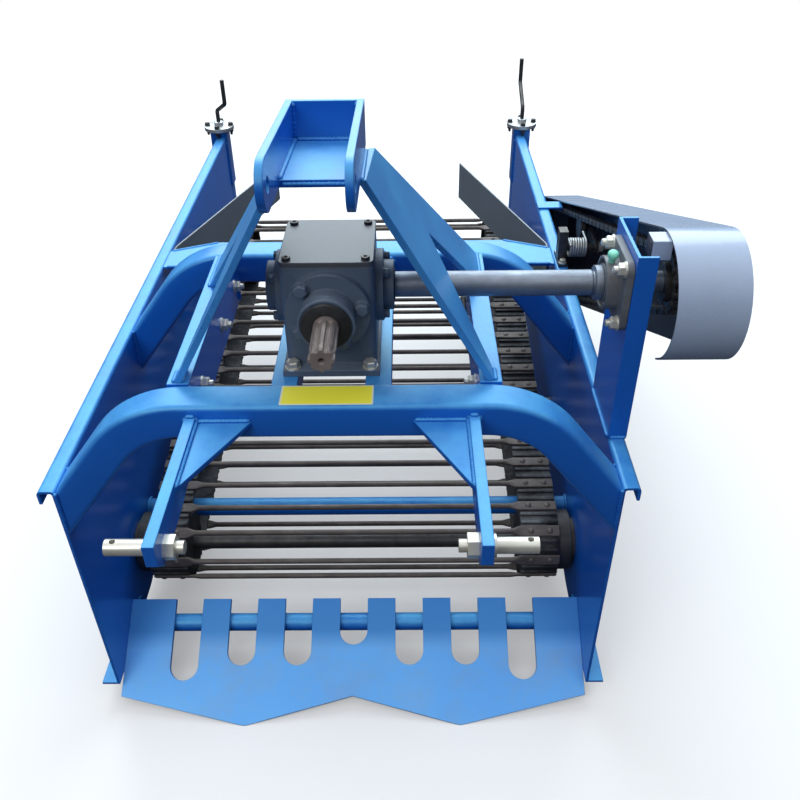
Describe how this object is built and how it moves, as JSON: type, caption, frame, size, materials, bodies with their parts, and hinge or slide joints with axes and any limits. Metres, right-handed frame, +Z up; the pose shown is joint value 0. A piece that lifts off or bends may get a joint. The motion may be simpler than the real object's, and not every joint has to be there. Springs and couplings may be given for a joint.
{
  "type": "carrot harvester",
  "caption": "Mounted rod web lifter for carrots: slotted share, sloping rod web between side plates, top hitch frame, gear case and guarded chain drive.",
  "frame": {"origin": "on the floor, under the middle of the machine's outer size", "axes": "+X across the machine, to the chain guard's side; +Y from the share to the back, against the way it travels; +Z up"},
  "size_m": [1.1892, 2.022, 1.1235],
  "materials": {
    "blue_paint": "gloss blue paint over welded steel",
    "gear_paint": "slate grey paint over a casting",
    "cast_grey": "bare grey casting",
    "guard_paint": "blue grey satin paint on sheet",
    "grey_sheet": "dark grey satin sheet",
    "rod_steel": "brownish rolled steel, worn by soil",
    "shaft_steel": "turned steel with a mill skin",
    "chain_steel": "oiled dark steel",
    "bright_zinc": "bright zinc plate",
    "black_rubber": "ribbed black rubber belt",
    "dark_steel": "blackened round bar"
  },
  "bodies": {
    "frame": {"bearing_housing": "cast_grey", "bearing_post": "blue_paint", "brace_left": "blue_paint", "brace_right": "blue_paint", "chain_guard": "guard_paint", "crank_left": "dark_steel", "crank_right": "dark_steel", "cross_plate": "blue_paint", "cross_tube": "blue_paint", "deflector_left": "grey_sheet", "deflector_right": "grey_sheet", "drive_chain": "chain_steel", "drive_sprocket": "chain_steel", "driven_sprocket": "chain_steel", "front_arch": "blue_paint", "front_rollers": "rod_steel", "gearbox_cover": "gear_paint", "gearbox_housing": "gear_paint", "gearbox_rails": "blue_paint", "guard_bracket": "cast_grey", "guard_stay": "blue_paint", "hitch_box": "blue_paint", "jack_tube_left": "blue_paint", "jack_tube_right": "blue_paint", "lower_bracket_left": "blue_paint", "lower_bracket_right": "blue_paint", "lower_pin_left": "bright_zinc", "lower_pin_right": "bright_zinc", "member_left": "blue_paint", "member_right": "blue_paint", "output_shaft": "shaft_steel", "rear_arch": "blue_paint", "shaft_flanges": "rod_steel", "share_bar": "blue_paint", "share_blade": "blue_paint", "side_plate_left": "blue_paint", "side_plate_right": "blue_paint", "support_rollers": "rod_steel", "tensioner_arm": "chain_steel", "tensioner_spring": "dark_steel", "web_belts": "black_rubber", "web_rods": "rod_steel", "web_shaft": "shaft_steel"},
    "input_shaft": {"input_shaft": "shaft_steel"},
    "leg_right": {"wheel_leg_right": "blue_paint"},
    "leg_left": {"wheel_leg_left": "blue_paint"},
    "wheel_right": {"depth_wheel_right": "blue_paint"},
    "wheel_left": {"depth_wheel_left": "blue_paint"}
  },
  "joints": [
    {"name": "input_spin", "type": "hinge", "parent": "frame", "child": "input_shaft", "pos_m": [-0.02835, -0.777, 0.819], "axis": [0, -1, 0], "continuous": true},
    {"name": "jack_right", "type": "slide", "parent": "frame", "child": "leg_right", "axis": [0, 0, 1], "range_m": [0, 0.12]},
    {"name": "wheel_spin_right", "type": "hinge", "parent": "leg_right", "child": "wheel_right", "pos_m": [0.51165, 0.886, 0.125], "axis": [1, 0, 0], "continuous": true},
    {"name": "jack_left", "type": "slide", "parent": "frame", "child": "leg_left", "axis": [0, 0, 1], "range_m": [0, 0.12]},
    {"name": "wheel_spin_left", "type": "hinge", "parent": "leg_left", "child": "wheel_left", "pos_m": [-0.55635, 0.886, 0.125], "axis": [1, 0, 0], "continuous": true}
  ]
}
